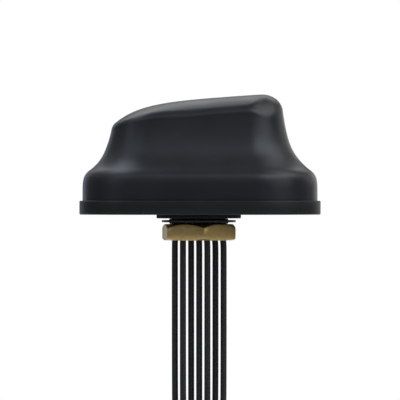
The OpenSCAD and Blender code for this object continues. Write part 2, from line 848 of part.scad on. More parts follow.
radome();
base_plate();
perimeter_seal();
cover_screws();
mounting_gasket();
threaded_stud();
stud_screws();
lock_washer();
hex_nut();
cable_grommet();
main_board();
board_screws();
lead_ferrules();
board_components();
receiver_module();
gnss_board();
gnss_board_spacers();
gnss_patch_lower();
gnss_patch_upper();
gnss_feed_pins();
for (i = [0:3])
  cell_element(i);
for (i = [0:1])
  wifi_element(i);
for (i = [0:6])
  lead(i);
lead_coil();
coil_ties();
plug_sleeves();
plug_insulators();
plug_pins();
for (i = [0:6])
  plug_body(i);
for (i = [0:6])
  plug_nut(i);
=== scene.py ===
"""Looks of a roof-mount GNSS receiver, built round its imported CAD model."""
import json
import math

import bmesh
import bpy
from mathutils import Matrix, Vector


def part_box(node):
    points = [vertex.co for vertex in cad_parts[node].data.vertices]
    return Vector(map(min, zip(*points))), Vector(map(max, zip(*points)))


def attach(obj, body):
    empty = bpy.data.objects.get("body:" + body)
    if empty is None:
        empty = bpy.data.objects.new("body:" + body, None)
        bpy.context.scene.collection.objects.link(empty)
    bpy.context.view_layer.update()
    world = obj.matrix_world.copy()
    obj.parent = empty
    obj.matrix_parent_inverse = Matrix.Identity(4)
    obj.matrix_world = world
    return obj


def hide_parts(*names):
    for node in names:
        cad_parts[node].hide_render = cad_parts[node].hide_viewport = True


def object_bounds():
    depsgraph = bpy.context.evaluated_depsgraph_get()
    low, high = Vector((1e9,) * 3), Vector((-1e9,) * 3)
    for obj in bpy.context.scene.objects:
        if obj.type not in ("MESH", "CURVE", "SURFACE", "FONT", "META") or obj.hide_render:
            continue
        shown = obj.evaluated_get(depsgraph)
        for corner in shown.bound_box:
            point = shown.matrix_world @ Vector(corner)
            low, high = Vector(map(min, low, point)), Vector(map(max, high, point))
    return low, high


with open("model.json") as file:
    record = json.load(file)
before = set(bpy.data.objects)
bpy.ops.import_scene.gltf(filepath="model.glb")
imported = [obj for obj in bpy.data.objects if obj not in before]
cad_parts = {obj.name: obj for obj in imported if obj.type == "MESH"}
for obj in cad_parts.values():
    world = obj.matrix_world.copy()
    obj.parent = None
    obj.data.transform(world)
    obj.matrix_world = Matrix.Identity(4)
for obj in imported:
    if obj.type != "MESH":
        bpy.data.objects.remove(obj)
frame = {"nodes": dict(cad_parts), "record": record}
CAD_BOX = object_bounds()
NODES = frame["nodes"]
MM = 0.001
TAU = 2 * math.pi
CREASE = 35                      # Faces that meet at more than this are shaded with an edge between them
AXIS = 0.01                      # Radius where a turned body closes on its axis

# ------------------------------------------------------------------ small maths


def smooth(t):
    t = min(1.0, max(0.0, t))
    return t * t * (3 - 2 * t)


def mix(a, b, t):
    return a + (b - a) * t


def bezier(a, b, c, d, t):
    s = 1 - t
    return a * s**3 + 3 * b * t * s * s + 3 * c * t * t * s + d * t**3


# ------------------------------------------------------------------ mesh helpers


def piece(name, points, faces, crease=CREASE, unit=MM):
    """A mesh object from points in millimetres, smooth where faces meet at less than crease degrees."""
    mesh = bpy.data.meshes.new(name)
    mesh.from_pydata([Vector(p) * unit for p in points], [], faces)
    work = bmesh.new()
    work.from_mesh(mesh)
    bmesh.ops.remove_doubles(work, verts=work.verts, dist=2e-6)
    bmesh.ops.recalc_face_normals(work, faces=work.faces)
    work.to_mesh(mesh)
    work.free()
    mesh.shade_smooth()
    mesh.set_sharp_from_angle(angle=math.radians(crease))
    obj = bpy.data.objects.new(name, mesh)
    bpy.context.scene.collection.objects.link(obj)
    return obj


def strip(rows, size, closed_rows=False, closed_size=True):
    """Quads between rows of points, each row holding size points."""
    faces = []
    for k in range(rows if closed_rows else rows - 1):
        for s in range(size if closed_size else size - 1):
            t, m = (s + 1) % size, (k + 1) % rows
            faces.append((k * size + s, k * size + t, m * size + t, m * size + s))
    return faces


def lathe(profile, steps, centre=(0, 0, 0)):
    """Points and faces of a closed profile of (radius, height) turned about the upright axis at centre."""
    x, y, base = centre
    points = [(x + r * math.cos(TAU * s / steps), y + r * math.sin(TAU * s / steps), base + z)
              for r, z in profile for s in range(steps)]
    return points, strip(len(profile), steps, closed_rows=True)


def rounded(profile, radius, steps=4):
    """A closed profile with each corner replaced by an arc of the given radius, or less on short sides."""
    out = []
    count = len(profile)
    for k in range(count):
        p, q, r = (Vector(profile[(k + d) % count]) for d in (-1, 0, 1))
        a, b = p - q, r - q
        if a.length < 1e-6 or b.length < 1e-6:
            continue
        angle = a.angle(b)
        if angle > math.radians(170):
            out.append(tuple(q))
            continue
        reach = min(radius / math.tan(angle / 2), 0.45 * a.length, 0.45 * b.length)
        start, end = q + a.normalized() * reach, q + b.normalized() * reach
        for s in range(steps + 1):
            t = s / steps
            out.append(tuple(start * (1 - t) ** 2 + q * 2 * t * (1 - t) + end * t * t))
    return out


def join(parts):
    """Several (points, faces) pairs as one."""
    points, faces = [], []
    for more, some in parts:
        base = len(points)
        points += list(more)
        faces += [tuple(i + base for i in face) for face in some]
    return points, faces


def moved(part, matrix):
    points, faces = part
    return [tuple(matrix @ Vector(p)) for p in points], faces


def loft(rings, cap=True):
    """Points and faces of a body through rings that hold equal numbers of points."""
    size = len(rings[0])
    faces = strip(len(rings), size)
    if cap:
        faces += [tuple(range(size)), tuple((len(rings) - 1) * size + s for s in range(size))]
    return [p for ring in rings for p in ring], faces


def carve(obj, *tools, how="DIFFERENCE"):
    """Cuts closed bodies, given as (points, faces), out of an object, or keeps what they share with it."""
    cutters = [piece("cutter", *tool) for tool in tools]
    for cutter in cutters:
        cut = obj.modifiers.new("cut", "BOOLEAN")
        cut.operation, cut.solver, cut.object = how, "EXACT", cutter
    return applied(obj, cutters)


def applied(obj, spare=()):
    """The object with its modifiers made part of its mesh; the spare objects that they used are removed."""
    bpy.context.view_layer.update()
    mesh = bpy.data.meshes.new_from_object(obj.evaluated_get(bpy.context.evaluated_depsgraph_get()))
    obj.modifiers.clear()
    obj.data = mesh
    for other in spare:
        bpy.data.objects.remove(other)
    mesh.shade_smooth()
    mesh.set_sharp_from_angle(angle=math.radians(CREASE))
    return obj


def bevelled(obj, width_mm):
    bevel = obj.modifiers.new("bevel", "BEVEL")
    bevel.width, bevel.segments = width_mm * MM, 2
    bevel.limit_method, bevel.angle_limit = "ANGLE", math.radians(25)
    bevel.use_clamp_overlap = True
    return applied(obj)


def merged(obj, *others):
    """Several objects as one."""
    work = bmesh.new()
    for part in (obj, *others):
        work.from_mesh(part.data)
    work.to_mesh(obj.data)
    work.free()
    for other in others:
        bpy.data.objects.remove(other)
    obj.data.shade_smooth()
    obj.data.set_sharp_from_angle(angle=math.radians(CREASE))
    return obj


def circle(centre, radius, z, steps):
    x, y = centre
    return [(x + radius * math.cos(TAU * s / steps), y + radius * math.sin(TAU * s / steps), z)
            for s in range(steps)]


def cylinder(centre, radius, low, high, steps=48):
    return loft([circle(centre, radius, z, steps) for z in (low, high)])


def prism(radius, low, high, sides=6, turn=0.0, centre=(0, 0)):
    """An upright prism whose first corner is turned so many degrees from +X."""
    return moved(cylinder((0, 0), radius, low, high, sides),
                 Matrix.Translation((*centre, 0)) @ Matrix.Rotation(math.radians(turn), 4, "Z"))


def box(low, high):
    (x, y, z), (u, v, w) = low, high
    return loft([[(x, y, h), (u, y, h), (u, v, h), (x, v, h)] for h in (z, w)])


def helix(root, crest, pitch, low, high, steps=72, centre=(0, 0, 0)):
    """A thread's ridge from root to crest that climbs one pitch in each turn and fades at its ends."""
    x, y, base = centre
    foot, flat = 0.46 * pitch, 0.06 * pitch
    count = int((high - low - pitch) / pitch * steps)
    rings = []
    for k in range(count + 1):
        a, z = TAU * k / steps, base + low + pitch / 2 + pitch * k / steps
        fade = min(1.0, k / (steps / 6), (count - k) / (steps / 6))
        tip = mix(root, crest, max(0.02, fade))
        section = ((root, -foot), (tip, -flat), (tip, flat), (root, foot))
        rings.append([(x + r * math.cos(a), y + r * math.sin(a), z + up) for r, up in section])
    return loft(rings)


# ------------------------------------------------------------------ materials


class Finish:
    """A procedural material: a principled shader with noise on its colour, roughness and bump."""

    def __init__(self, name, color, roughness, metallic=0.0, specular=0.5):
        self.material = bpy.data.materials.new(name)
        self.material.use_nodes = True
        self.tree = self.material.node_tree
        self.nodes = self.tree.nodes
        self.shader = self.nodes["Principled BSDF"]
        self.set("Base Color", (*color, 1))
        self.set("Roughness", roughness)
        self.set("Metallic", metallic)
        self.set("Specular IOR Level", specular)
        self.coords = self.nodes.new("ShaderNodeTexCoord")
        self.color = color
        self.roughness = roughness
        self.normal = None

    def set(self, socket, value):
        self.shader.inputs[socket].default_value = value

    def link(self, out, into):
        self.tree.links.new(out, into)

    def noise(self, size_mm, detail=2.0, stretch=(1, 1, 1), distortion=0.0):
        """Noise whose lumps are about size_mm across, longer along an axis where stretch is over 1."""
        mapping = self.nodes.new("ShaderNodeMapping")
        mapping.inputs["Scale"].default_value = tuple(1 / s for s in stretch)
        self.link(self.coords.outputs["Object"], mapping.inputs["Vector"])
        texture = self.nodes.new("ShaderNodeTexNoise")
        texture.inputs["Scale"].default_value = 1 / (size_mm * MM)
        texture.inputs["Detail"].default_value = detail
        texture.inputs["Distortion"].default_value = distortion
        self.link(mapping.outputs["Vector"], texture.inputs["Vector"])
        return texture.outputs["Fac"]

    def spread(self, factor, low, high, start=0.3, end=0.7):
        """Maps a factor between start and end on to the range from low to high."""
        node = self.nodes.new("ShaderNodeMapRange")
        for key, value in (("From Min", start), ("From Max", end), ("To Min", low), ("To Max", high)):
            node.inputs[key].default_value = value
        self.link(factor, node.inputs["Value"])
        return node.outputs["Result"]

    def vary_roughness(self, factor, amount):
        self.link(self.spread(factor, self.roughness - amount, self.roughness + amount),
                  self.shader.inputs["Roughness"])

    def vary_color(self, factor, other, start=0.3, end=0.7):
        node = self.nodes.new("ShaderNodeMix")
        node.data_type = "RGBA"
        node.inputs["A"].default_value = (*self.color, 1)
        node.inputs["B"].default_value = (*other, 1)
        self.link(self.spread(factor, 0, 1, start, end), node.inputs["Factor"])
        self.link(node.outputs["Result"], self.shader.inputs["Base Color"])

    def bump(self, height, depth_mm, strength=1.0):
        node = self.nodes.new("ShaderNodeBump")
        node.inputs["Strength"].default_value = strength
        node.inputs["Distance"].default_value = depth_mm * MM
        self.link(height, node.inputs["Height"])
        if self.normal is not None:
            self.link(self.normal, node.inputs["Normal"])
        self.normal = node.outputs["Normal"]
        self.link(self.normal, self.shader.inputs["Normal"])


def moulded(name, color, other, roughness, grain_mm, grain_depth, specular=0.5):
    """Moulded plastic: fine spark-eroded grain, slow drift in gloss and a faint drift in colour."""
    finish = Finish(name, color, roughness, specular=specular)
    drift = finish.noise(34, 2)
    finish.vary_roughness(drift, 0.04)
    finish.vary_color(finish.noise(9, 3), other)
    finish.bump(finish.noise(grain_mm, 1), grain_depth)
    return finish.material


def foam(name, color, other):
    """Closed-cell foam rubber: matte, with small open pores on its cut faces."""
    finish = Finish(name, color, 0.85, specular=0.25)
    pores = finish.noise(0.5, 4)
    finish.vary_color(pores, other, 0.35, 0.6)
    finish.bump(pores, 0.12)
    return finish.material


def machined(name, color, other, roughness, streaks, tool_depth=0.004):
    """Turned or milled metal: fine tool marks stretched along the streaks, smudges and dull spots."""
    finish = Finish(name, color, roughness, metallic=1.0)
    marks = finish.noise(0.5, 3, stretch=streaks)
    finish.vary_color(finish.noise(5, 4, distortion=0.6), other, 0.4, 0.72)
    finish.vary_roughness(finish.noise(2.2, 4), 0.07)
    finish.bump(marks, tool_depth)
    return finish.material


def rubber(name, color, other, roughness=0.6):
    finish = Finish(name, color, roughness, specular=0.4)
    finish.vary_color(finish.noise(4, 3), other)
    finish.vary_roughness(finish.noise(7, 2), 0.08)
    finish.bump(finish.noise(0.25, 2), 0.01)
    return finish.material


def coated(name, color, other, roughness):
    """Black-oxide or painted steel, with a little bare metal showing in its wear."""
    finish = Finish(name, color, roughness, metallic=0.6)
    finish.vary_color(finish.noise(1.4, 5), other, 0.62, 0.8)
    finish.vary_roughness(finish.noise(0.8, 3), 0.1)
    finish.bump(finish.noise(0.3, 3), 0.01)
    return finish.material


def oxide_with_wear_and_glint(name, color, bare, middle_mm, reach_mm):
    """Black-oxide steel that turns to the bright colour given as bare where it stands more than reach_mm
    above or below middle_mm: partly bare worn metal, partly a painted glint.
    """
    finish = Finish(name, color, 0.4, metallic=0.3)
    split = finish.nodes.new("ShaderNodeSeparateXYZ")
    finish.link(finish.coords.outputs["Object"], split.inputs["Vector"])
    away = finish.nodes.new("ShaderNodeMath")
    away.operation = "SUBTRACT"
    away.inputs[1].default_value = middle_mm * MM
    finish.link(split.outputs["Z"], away.inputs[0])
    height = finish.nodes.new("ShaderNodeMath")
    height.operation = "ABSOLUTE"
    finish.link(away.outputs["Value"], height.inputs[0])
    # Painted glint: the bright colour far from the middle stands partly for worn bare metal, partly for
    # light glinting on the teeth's edges.
    finish.vary_color(height.outputs["Value"], bare, reach_mm * MM, (reach_mm + 0.2) * MM)
    finish.vary_roughness(finish.noise(0.8, 3), 0.1)
    finish.bump(finish.noise(0.3, 3), 0.008)
    return finish.material


def circuit_board(name):
    """Green solder mask over copper: a fine net of tracks shows as a slightly lighter relief."""
    finish = Finish(name, (0.01, 0.12, 0.055), 0.32)
    cells = finish.nodes.new("ShaderNodeTexVoronoi")
    cells.distance = "MANHATTAN"
    cells.inputs["Scale"].default_value = 1 / (2.4 * MM)
    finish.link(finish.coords.outputs["Object"], cells.inputs["Vector"])
    finish.vary_color(cells.outputs["Distance"], (0.02, 0.2, 0.09), 0.35, 0.5)
    finish.bump(cells.outputs["Distance"], 0.03, 0.4)
    finish.vary_roughness(finish.noise(12, 2), 0.05)
    return finish.material


WASHER_TOP = -1.4
WASHER_THICKNESS = 1.7
WASHER_MIDDLE = WASHER_TOP - WASHER_THICKNESS / 2
TOOTH_WEAR_AND_GLINT_REACH = 1.35                # Beyond this from its middle the washer's teeth are bright: partly bare wear, partly a painted glint

MATERIALS = {
    "radome_plastic": moulded(
        "radome_plastic", (0.0085, 0.0105, 0.0135), (0.01, 0.0123, 0.0156), 0.36, 0.35, 0.006),
    "base_plastic": moulded(
        "base_plastic", (0.0075, 0.0086, 0.0094), (0.0092, 0.0104, 0.0112), 0.44, 0.45, 0.008,
        specular=0.36),
    "seal_rubber": rubber("seal_rubber", (0.02, 0.02, 0.021), (0.026, 0.026, 0.027)),
    "gasket_foam": foam("gasket_foam", (0.014, 0.014, 0.0145), (0.006, 0.006, 0.006)),
    "nut_brass": machined("nut_brass", (0.7, 0.5, 0.2), (0.62, 0.44, 0.185), 0.34, (6, 6, 1), 0.004),
    "stud_black": coated("stud_black", (0.02, 0.02, 0.021), (0.05, 0.05, 0.05), 0.36),
    "washer_black": oxide_with_wear_and_glint(
        "washer_black", (0.026, 0.027, 0.027), (0.86, 0.86, 0.84), WASHER_MIDDLE, TOOTH_WEAR_AND_GLINT_REACH),
    "screw_steel": machined("screw_steel", (0.6, 0.59, 0.57), (0.48, 0.47, 0.45), 0.3, (4, 4, 1)),
    "grommet_rubber": rubber("grommet_rubber", (0.012, 0.012, 0.012), (0.018, 0.018, 0.018), 0.68),
    "board_green": circuit_board("board_green"),
    "chip_black": moulded("chip_black", (0.014, 0.014, 0.015), (0.02, 0.02, 0.021), 0.5, 0.2, 0.004),
    "shield_tin": machined("shield_tin", (0.62, 0.63, 0.64), (0.5, 0.5, 0.51), 0.38, (5, 1, 1)),
    "spacer_nylon": moulded("spacer_nylon", (0.68, 0.66, 0.6), (0.6, 0.57, 0.5), 0.45, 0.5, 0.005),
    "ceramic": moulded("ceramic", (0.62, 0.5, 0.36), (0.52, 0.41, 0.29), 0.6, 0.25, 0.008),
    "element_metal": machined("element_metal", (0.7, 0.66, 0.52), (0.55, 0.5, 0.38), 0.35, (1, 1, 8)),
    "lead_jacket": moulded(
        "lead_jacket", (0.0135, 0.0138, 0.014), (0.0165, 0.017, 0.0172), 0.4, 0.6, 0.006),
    "tie_nylon": moulded("tie_nylon", (0.014, 0.014, 0.0145), (0.02, 0.02, 0.021), 0.38, 0.4, 0.004),
    "sleeve_black": rubber("sleeve_black", (0.011, 0.011, 0.0115), (0.016, 0.016, 0.017), 0.5),
    "ferrule_tin": machined("ferrule_tin", (0.66, 0.65, 0.6), (0.52, 0.5, 0.45), 0.36, (1, 1, 6)),
    "plug_gold": machined("plug_gold", (0.86, 0.62, 0.26), (0.74, 0.52, 0.22), 0.22, (1, 1, 4), 0.003),
    "ptfe": moulded("ptfe", (0.84, 0.84, 0.82), (0.78, 0.78, 0.75), 0.4, 0.5, 0.003),
}


def finish(obj, slot_name, body="root"):
    """Gives a new piece its material and slot, and lets it ride on its body."""
    obj.data.materials.clear()
    obj.data.materials.append(MATERIALS[slot_name])
    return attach(obj, body)


# ------------------------------------------------------------------ camera

CAMERA_DISTANCE = 2.5
VIEW_WIDTH = 0.32
VIEW_HEIGHT_MM = 14.66
HOUSING_X = 1                    # Middle of the housing, measured from the stud's axis

camera_data = bpy.data.cameras.new("camera")
camera_data.sensor_width = 36
camera_data.lens = camera_data.sensor_width * CAMERA_DISTANCE / VIEW_WIDTH
camera_data.clip_end = 20
camera = bpy.data.objects.new("camera", camera_data)
camera.location = (HOUSING_X * MM, -CAMERA_DISTANCE, VIEW_HEIGHT_MM * MM)
camera.rotation_euler = (math.radians(90), 0, 0)
bpy.context.scene.collection.objects.link(camera)
bpy.context.scene.camera = camera

# ------------------------------------------------------------------ leads

LEAD_COUNT = 7
LEAD_DIAMETER = 4.95
STUD_PITCH = 6.1
HANG_PITCH = 6.5
HANG_SHIFT = 0.4                 # How far the hanging leads lie beside the stud's axis
LEAD_ROWS = (0, -5, 5, 0, -5, 5, 0)
BUNDLE_OFFSETS = ((-5.2, 0), (-2.6, -4.5), (-2.6, 4.5), (0, 0), (2.6, -4.5), (2.6, 4.5), (5.2, 0))
BEND_RADIUS = 40
DROP_END = -215
COIL_RADIUS = 82
BUNDLE_PITCH = 15.6
COIL_START = math.degrees(math.asin(BEND_RADIUS / (COIL_RADIUS + BEND_RADIUS)))
COIL_END = 3 * 360 + 90
COIL_HALF_WIDTH = BUNDLE_PITCH * (COIL_END - COIL_START) / 720
COIL_Z = DROP_END - (COIL_RADIUS + BEND_RADIUS) * math.cos(math.radians(COIL_START))
COIL_POINTS = 112
GROMMET_MOUTH = -5

# Height, spread to the hanging pitch, gathering into the bundle
DROP_STATIONS = (
    (13, 0, 0), (-5, 0, 0), (-9, 0.08, 0), (-12.5, 0.26, 0), (-15, 0.5, 0), (-18, 0.78, 0), (-21, 0.95, 0),
    (-25, 1, 0), (-38, 1, 0), (-150, 1, 0), (-158, 1, 0.04),
    (-166, 1, 0.15), (-174, 1, 0.31), (-182, 1, 0.5), (-190, 1, 0.69), (-198, 1, 0.85), (-206, 1, 0.96),
    (DROP_END, 1, 1))
# Height below the coil's middle, spread towards the plugs
TAIL_STATIONS = ((-8, 0.06), (-16, 0.22), (-24, 0.48), (-32, 0.75), (-40, 0.93), (-48, 1), (-64, 1))
TAIL_SPREAD = 2.2
TAIL_SHIFT = (4, 7)


def drop_point(i, height, spread, gather):
    x = (i - LEAD_COUNT // 2) * mix(STUD_PITCH, HANG_PITCH, spread) + HANG_SHIFT * spread**2
    ox, oy = BUNDLE_OFFSETS[i]
    return (mix(x, ox, gather), mix(LEAD_ROWS[i], oy - COIL_HALF_WIDTH, gather), height)


def bend_point(i, degrees):
    ox, oy = BUNDLE_OFFSETS[i]
    a, r = math.radians(degrees), BEND_RADIUS - ox
    return (BEND_RADIUS - r * math.cos(a), oy - COIL_HALF_WIDTH, DROP_END - r * math.sin(a))


def coil_point(i, t):
    """Place of a lead at the share t of the coil; the bundle rolls once, so all are equally long."""
    ox, oy = BUNDLE_OFFSETS[i]
    roll = TAU * smooth(t)
    out = ox * math.cos(roll) - oy * math.sin(roll)
    side = ox * math.sin(roll) + oy * math.cos(roll)
    a = math.radians(mix(COIL_START, COIL_END, t))
    r = COIL_RADIUS + out
    return (r * math.sin(a), mix(-COIL_HALF_WIDTH, COIL_HALF_WIDTH, t) + side, COIL_Z + r * math.cos(a))


def tail_point(i, height, spread):
    ox, oy = BUNDLE_OFFSETS[i]
    wide = mix(1, TAIL_SPREAD, spread)
    return (COIL_RADIUS + ox * wide + TAIL_SHIFT[0] * spread,
            COIL_HALF_WIDTH + oy * wide + TAIL_SHIFT[1] * spread, COIL_Z + height)


def lead_route(i):
    route = [drop_point(i, *station) for station in DROP_STATIONS]
    route += [bend_point(i, (90 - COIL_START) * k / 6) for k in range(1, 6)]
    route += [coil_point(i, k / COIL_POINTS) for k in range(COIL_POINTS + 1)]
    return route + [tail_point(i, *station) for station in TAIL_STATIONS]


def cable(name, route, diameter_mm):
    """A round curve through a route in millimetres."""
    data = bpy.data.curves.new(name, "CURVE")
    data.dimensions = "3D"
    data.bevel_depth = diameter_mm / 2 * MM
    data.bevel_resolution = 6
    data.resolution_u = 4
    data.use_fill_caps = True
    spline = data.splines.new("NURBS")
    spline.points.add(len(route) - 1)
    for point, place in zip(spline.points, route):
        point.co = (*(c * MM for c in place), 1)
    spline.order_u = 4
    spline.use_endpoint_u = True
    obj = bpy.data.objects.new(name, data)
    bpy.context.scene.collection.objects.link(obj)
    return obj


LEADS = []
for i in range(LEAD_COUNT):
    lead = finish(cable(f"coax_lead_{i + 1}", lead_route(i), LEAD_DIAMETER), "lead_jacket")
    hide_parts(f"lead_{i + 1}")
    LEADS.append(lead)
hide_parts("lead_coil")

# ------------------------------------------------------------------ radome

WALL = 2.4
WALL_BLEND = 8                   # Height over which the inside sinks to a wall's thickness under the roof
FLANGE_CORNER = 53
SKIRT_INSET = 2.5
SKIRT_CORNER = FLANGE_CORNER - SKIRT_INSET
SKIRT_STRAIGHT_TOP = 22.4
SHOULDER_TOP = 39.6
SHOULDER_PULLS = ((0, 33), (-1.4, 35.4))
UPPER_HALF = 71.8
WALL_LEAN = 0.112
FLARE_REACH = 14.7
FLARE_DECAY = 13
LEAN_BACK = -1
LEAN_BACK_HEIGHT = 21
RIDGE_SLOPE = 0.065
RIDGE_PEAK_X = 50
NOSE_DROP = 10.3
NOSE_X = -60
NOSE_DECAY = 19.5
CROWN_DROP = 7.6
CROWN_HALF = 28.5
FLAT_NOSE_CROWN = 0.35           # Share of the crown that is lost towards the nose
FLAT_NOSE_START = -5
FLAT_NOSE_RUN = 45
DEPTH_TAPER = 0.83
CORNER_TAPER = 0.87

radome_low, radome_high = (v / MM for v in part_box("radome"))
SKIRT_HALF = radome_high.x - HOUSING_X
SKIRT_BOTTOM = radome_low.z
CENTRE_X = SKIRT_HALF - SKIRT_CORNER
CENTRE_Y = radome_high.y - SKIRT_CORNER
DOME_TOP = 99.2
EDGE_RISES = (3, 1.5, 11.2)      # At the nose, added behind it, added at the tall end
EDGE_RUNS = (3, 2, 13)
EDGE_NOSE_X = -62
EDGE_TALL_X = 38
EDGE_BLEND = 21
IN_HOUSING = Matrix.Translation((HOUSING_X, 0, 0))


def outline(corner_steps, long_steps, short_steps):
    """Directions round the skin: which corner, how far along a straight side, and the angle."""
    found = []
    for q, (u, v) in enumerate(((1, 1), (-1, 1), (-1, -1), (1, -1))):
        found += [(u, v, math.radians(90 * (q + k / corner_steps))) for k in range(corner_steps + 1)]
        along_x = q % 2 == 0
        steps = long_steps if along_x else short_steps
        for k in range(1, steps + 1):
            s = 1 - 2 * k / (steps + 1)
            found.append((u * s if along_x else u, v if along_x else v * s, math.radians(90 * (q + 1))))
    return found


def skin(o, inset, z):
    """Point of the outline at a height, where the half-length is inset by so much from the skirt's."""
    u, v, a = o
    r = SKIRT_CORNER - CORNER_TAPER * inset
    shift = LEAN_BACK * smooth((z - SHOULDER_TOP) / LEAN_BACK_HEIGHT)
    return (u * (CENTRE_X - (1 - CORNER_TAPER) * inset) + r * math.cos(a) + shift,
            v * (CENTRE_Y + (CORNER_TAPER - DEPTH_TAPER) * inset) + r * math.sin(a), z)


def flare_inset(z):
    up = z - SHOULDER_TOP
    return SKIRT_HALF - UPPER_HALF + WALL_LEAN * up - FLARE_REACH * math.exp(-up / FLARE_DECAY)


def roof(x, y):
    ridge = DOME_TOP - RIDGE_SLOPE * (RIDGE_PEAK_X - x) - NOSE_DROP * math.exp((NOSE_X - x) / NOSE_DECAY)
    crown = CROWN_DROP * (1 - FLAT_NOSE_CROWN * smooth((FLAT_NOSE_START - x) / FLAT_NOSE_RUN))
    return ridge - crown * (y / CROWN_HALF) ** 2


def edge_share(x, sizes):
    nose, behind, tall = sizes
    past_nose, past_middle = (smooth((x - place) / EDGE_BLEND) for place in (EDGE_NOSE_X, EDGE_TALL_X))
    return nose + behind * past_nose + tall * past_middle


def edge_rise(x):
    return edge_share(x, EDGE_RISES)


def edge_run(x):
    return edge_share(x, EDGE_RUNS)


def wall_top(o, inset):
    """Height where the wall meets the roof's rounded edge, estimated over and over until it settles."""
    z = 80.0
    for _ in range(8):
        x, y, _z = skin(o, flare_inset(z) + inset, z)
        z = roof(x, y) - edge_rise(x)
    return z


def shoulder_ring(dirs, t, inset):
    (low_x, low_z), (high_x, high_z) = SHOULDER_PULLS
    x = bezier(SKIRT_HALF, SKIRT_HALF + low_x, SKIRT_HALF + high_x, UPPER_HALF + FLARE_REACH, t)
    z = bezier(SKIRT_STRAIGHT_TOP, low_z, high_z, SHOULDER_TOP, t)
    return [skin(o, SKIRT_HALF - x + inset, z) for o in dirs]


def wall_ring(dirs, t, inset):
    ring = []
    for o in dirs:
        z = mix(SHOULDER_TOP, wall_top(o, inset), t**1.4)
        ring.append(skin(o, flare_inset(z) + inset, z))
    return ring


def edge_ring(dirs, degrees, inset):
    ring, a = [], math.radians(degrees)
    for o in dirs:
        z = wall_top(o, inset)
        base = flare_inset(z) + inset
        foot = skin(o, base, z)
        x, y, _z = skin(o, base + edge_run(foot[0]) * (1 - math.cos(a)), z)
        ring.append((x, y, roof(x, y) - edge_rise(foot[0]) * (1 - math.sin(a))))
    return ring


def roof_ring(dirs, s, inset):
    ring = []
    for x, y, _z in edge_ring(dirs, 90, inset):
        x, y = mix(LEAN_BACK, x, s), y * s
        ring.append((x, y, roof(x, y)))
    return ring


def skin_rings(dirs, inset, drop):
    rings = [[skin(o, inset, mix(SKIRT_BOTTOM, SKIRT_STRAIGHT_TOP, k / 4)) for o in dirs] for k in range(4)]
    rings += [shoulder_ring(dirs, k / 14, inset) for k in range(15)]
    rings += [wall_ring(dirs, k / 26, inset) for k in range(1, 27)]
    rings += [edge_ring(dirs, 90 * k / 9, inset) for k in range(1, 10)]
    rings += [roof_ring(dirs, s, inset) for s in (0.94, 0.86, 0.77, 0.67, 0.56, 0.45, 0.34, 0.23, 0.12)]
    return [
        [(x, y, z - drop * smooth((z - SKIRT_STRAIGHT_TOP) / WALL_BLEND)) for x, y, z in ring]
        for ring in rings]


def closed_skin(rings, apex):
    """Rings from the skirt up, closed over with a fan to the apex."""
    size = len(rings[0])
    points, faces = loft(rings, cap=False)
    last = (len(rings) - 1) * size
    faces += [(last + s, last + (s + 1) % size, len(points)) for s in range(size)]
    return points + [apex], faces


LUG_RADIUS = 3.8
LUG_TOP = 21
SCREW_RADIUS = 1.5
SCREW_CLEARANCE = 1.6
LUG_REACH = SKIRT_CORNER - 4.9
LUG_ANGLE = math.radians(20)
SIDE_LUG = (30, CENTRE_Y + SKIRT_CORNER - 5.2)
END_LUG = (CENTRE_X + LUG_REACH * math.cos(LUG_ANGLE), CENTRE_Y + LUG_REACH * math.sin(LUG_ANGLE))
COVER_SCREWS = [(x * u, y * v) for u in (-1, 1) for v in (-1, 1) for x, y in (SIDE_LUG, END_LUG)]
BOARD_SCREWS = [place for u in (-1, 1) for place in ((72 * u, 0), (44 * u, 34), (44 * u, -34))]


def tube(centre, outer, inner, low, high):
    """An upright tube with rounded rims."""
    profile = [(outer, low), (outer, high), (inner, high), (inner, low)]
    return lathe(rounded(profile, 0.4, 2), 32, (*centre, 0))


def radome_shell():
    dirs = outline(24, 26, 3)
    size = len(dirs)
    apex = roof(LEAN_BACK, 0)
    outer = closed_skin(skin_rings(dirs, 0, 0), (LEAN_BACK, 0, apex))
    inner = closed_skin(skin_rings(dirs, WALL, WALL), (LEAN_BACK, 0, apex - WALL))
    points, faces = join([outer, inner])
    shift = len(outer[0])
    faces += [(s, (s + 1) % size, shift + (s + 1) % size, shift + s) for s in range(size)]
    lugs = [tube(place, LUG_RADIUS, SCREW_RADIUS, SKIRT_BOTTOM + 0.1, LUG_TOP) for place in COVER_SCREWS]
    return moved(join([(points, faces)] + lugs), IN_HOUSING)


radome = piece("radome_shell", *radome_shell(), crease=40)
finish(radome, "radome_plastic")
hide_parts("radome")

# ------------------------------------------------------------------ base plate

BASE_BOTTOM = 3
FLANGE_HEIGHT = 11.1
FLOOR_TOP = BASE_BOTTOM + 3.2
LEDGE_TOP = BASE_BOTTOM + 4.8
LEDGE_INSET = 12
RIM_INSET = SKIRT_INSET - 0.2
PAD_TOP = FLOOR_TOP + 3
PAD_RADIUS = 36
STANDOFF_RADIUS = 3.4
BOARD_HEIGHT = 16
GASKET_RADIUS = 33.8
STUD_RADIUS = 22.5
COUNTERBORE_RADIUS = 3.1
COUNTERBORE_DEPTH = 2.6
STUD_SCREW_CIRCLE = 29.5
STUD_SCREW_END = BASE_BOTTOM + 1.8
STUD_SCREWS = [(STUD_SCREW_CIRCLE * math.cos(a), STUD_SCREW_CIRCLE * math.sin(a))
               for a in (TAU * (k + 0.5) / 4 for k in range(4))]


def base_ring(dirs, inset, z):
    r = FLANGE_CORNER - inset
    return [(u * CENTRE_X + r * math.cos(a), v * CENTRE_Y + r * math.sin(a), z) for u, v, a in dirs]


